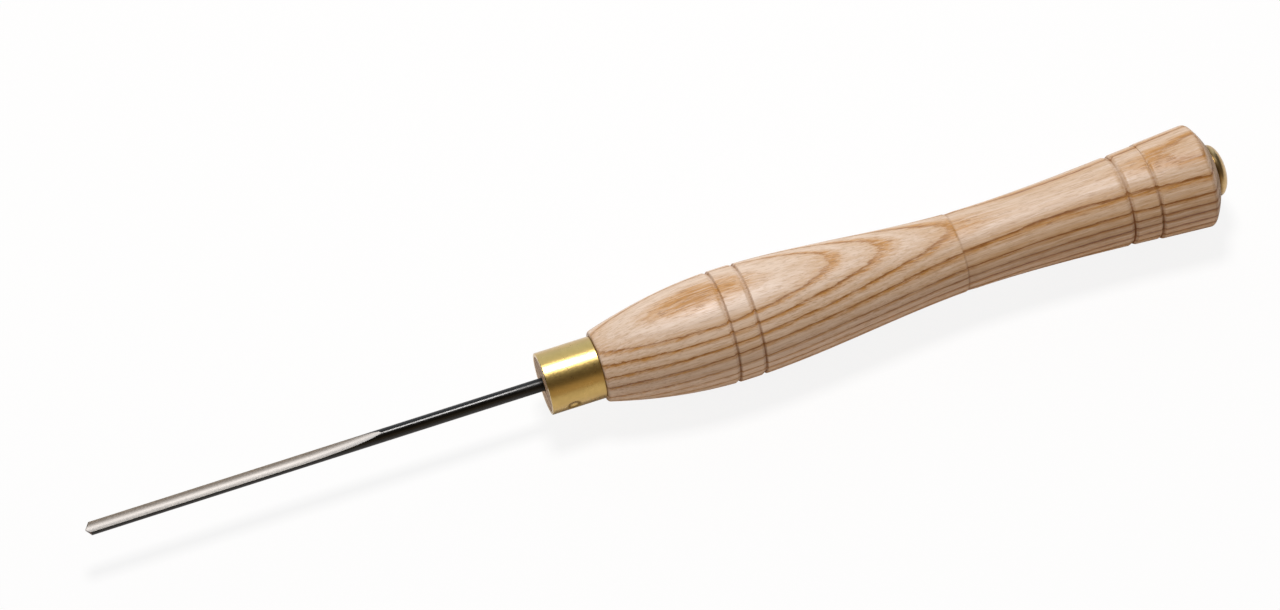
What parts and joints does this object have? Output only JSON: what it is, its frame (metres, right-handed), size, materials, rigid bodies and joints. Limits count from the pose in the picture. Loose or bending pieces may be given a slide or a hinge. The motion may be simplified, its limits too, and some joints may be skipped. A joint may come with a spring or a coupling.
{
  "type": "spindle gouge",
  "caption": "Small spindle gouge for wood turning: fluted round steel bar in a waisted ash handle with turned lines, a brass ferrule and a domed brass button at the butt.",
  "frame": {"origin": "centre of the ferrule's front face, on the axis of the tool", "axes": "+X along the bar to the cutting point, +Z out of the flute, +Y to the side with the ferrule's punched dimple"},
  "size_m": [0.2817, 0.027, 0.0271],
  "materials": {
    "steel": "hardened bar with a black skin, flute and nose ground bright",
    "brass_ferrule": "satin drawn tube",
    "ash": "satin lacquer over open ash grain",
    "brass_button": "polished"
  },
  "bodies": {
    "root": {"blade": "steel", "ferrule": "brass_ferrule", "handle": "ash", "end_button": "brass_button"}
  },
  "joints": []
}
